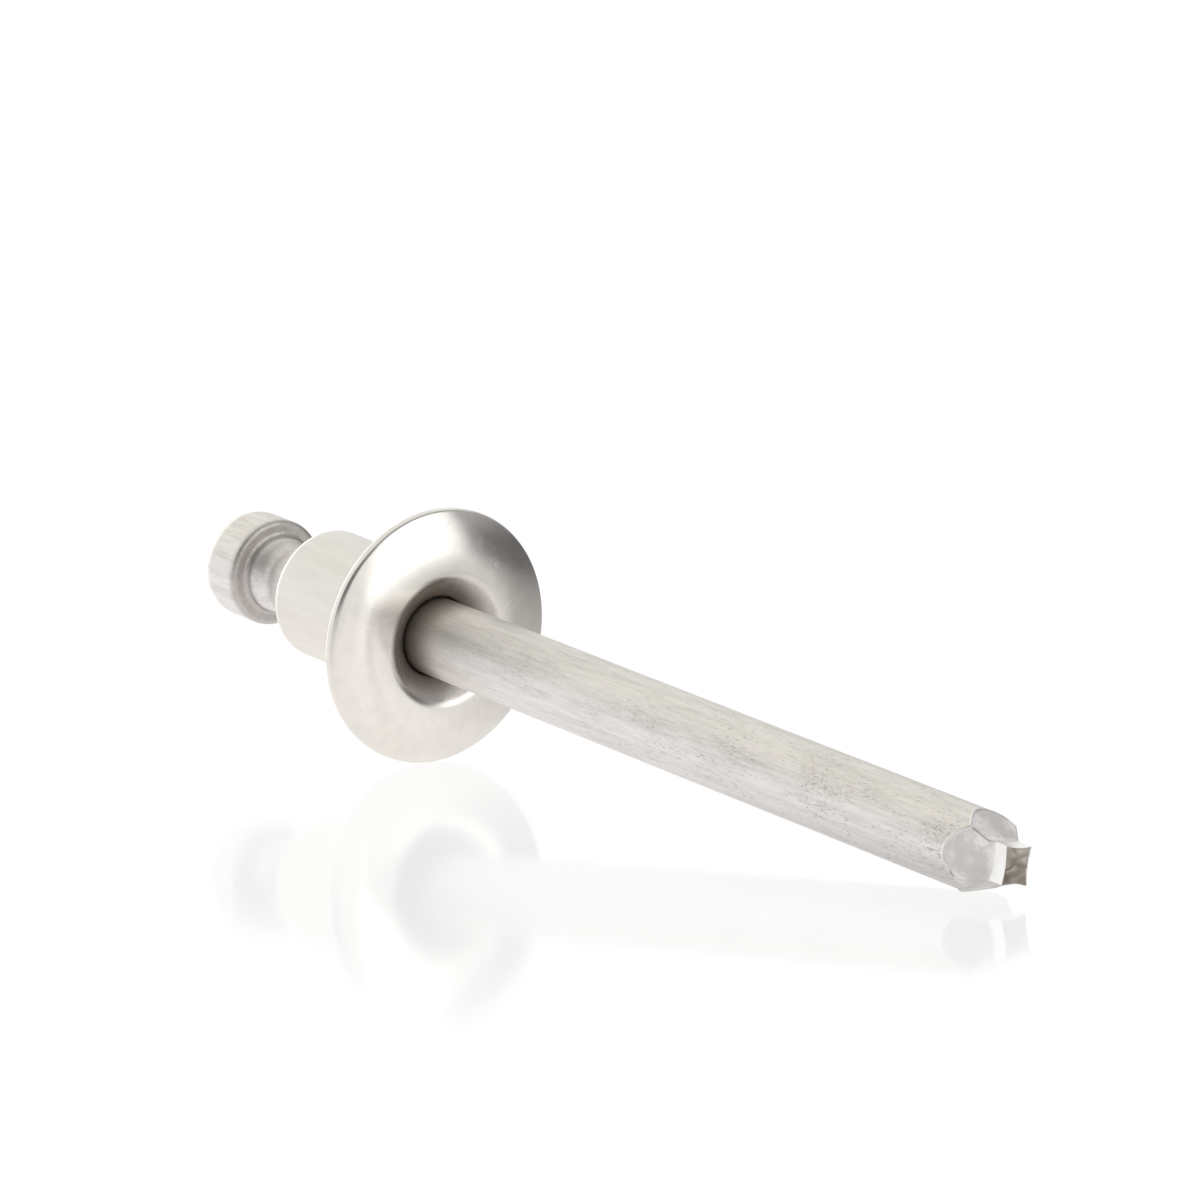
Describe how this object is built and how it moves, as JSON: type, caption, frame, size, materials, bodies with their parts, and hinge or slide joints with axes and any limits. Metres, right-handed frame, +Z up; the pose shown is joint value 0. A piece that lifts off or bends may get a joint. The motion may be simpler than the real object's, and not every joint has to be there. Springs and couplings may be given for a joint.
{
  "type": "pop rivet",
  "caption": "Open-end dome-head blind rivet, unset: a flanged sleeve on the headed mandrel whose pull upsets its tail.",
  "frame": {"origin": "on the surface that the rivet lies on, under the middle of its length", "axes": "+X along the mandrel toward its tip, level; +Z up; the rivet's own axis lies in the XZ plane and dips 6.2 degrees toward the tip"},
  "size_m": [0.0452, 0.0094, 0.0095],
  "materials": {
    "sleeve": "bright polished flange dome, satin sleeve",
    "mandrel": "drawn wire, matte with fine lengthwise streaks and pits, bright pinched faces, dark torn end"
  },
  "bodies": {
    "root": {"rivet_body": "sleeve", "mandrel": "mandrel"}
  },
  "joints": []
}
